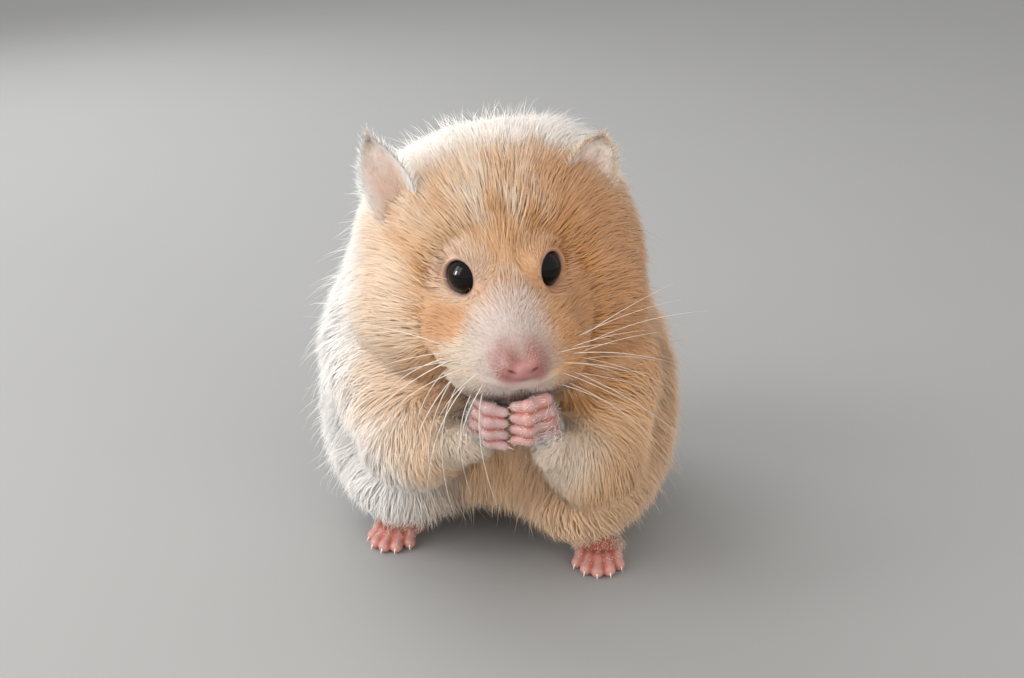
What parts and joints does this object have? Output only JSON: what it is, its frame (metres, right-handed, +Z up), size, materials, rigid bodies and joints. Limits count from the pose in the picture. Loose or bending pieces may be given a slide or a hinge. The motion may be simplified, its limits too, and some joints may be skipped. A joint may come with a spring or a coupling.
{
  "type": "syrian hamster",
  "caption": "Life-size still model of a long-haired golden Syrian hamster sitting up with its forepaws held together at its mouth.",
  "frame": {"origin": "middle of the footprint of the animal's bounding box, on the floor that it sits on", "axes": "the animal faces -Y, its left side is +X, and +Z is up"},
  "size_m": [0.0714, 0.0884, 0.083],
  "materials": {
    "coat_apricot": "long soft apricot fur, matt with a faint sheen along the hairs",
    "coat_cream": "long soft cream fur, matt",
    "ear_skin": "thin bare ear skin with fine pale down",
    "pink_skin": "bare pink paw skin, slightly moist",
    "nose_skin": "moist pink nose skin",
    "eye": "wet black eye, high gloss",
    "claw": "pale translucent horn of the claws",
    "whisker": "stiff pale whisker hair"
  },
  "bodies": {
    "root": {"head": "coat_apricot", "lower_jaw": "coat_cream", "neck": "coat_apricot", "trunk": "coat_cream", "tail": "pink_skin", "nose": "nose_skin", "eye_left": "eye", "eye_right": "eye", "ear_left": "ear_skin", "ear_right": "ear_skin", "upper_arm_left": "coat_apricot", "upper_arm_right": "coat_apricot", "forearm_left": "coat_cream", "forearm_right": "coat_cream", "forepaw_left": "pink_skin", "forepaw_right": "pink_skin", "thigh_left": "coat_cream", "thigh_right": "coat_cream", "hind_foot_left": "pink_skin", "hind_foot_right": "pink_skin"}
  },
  "joints": []
}
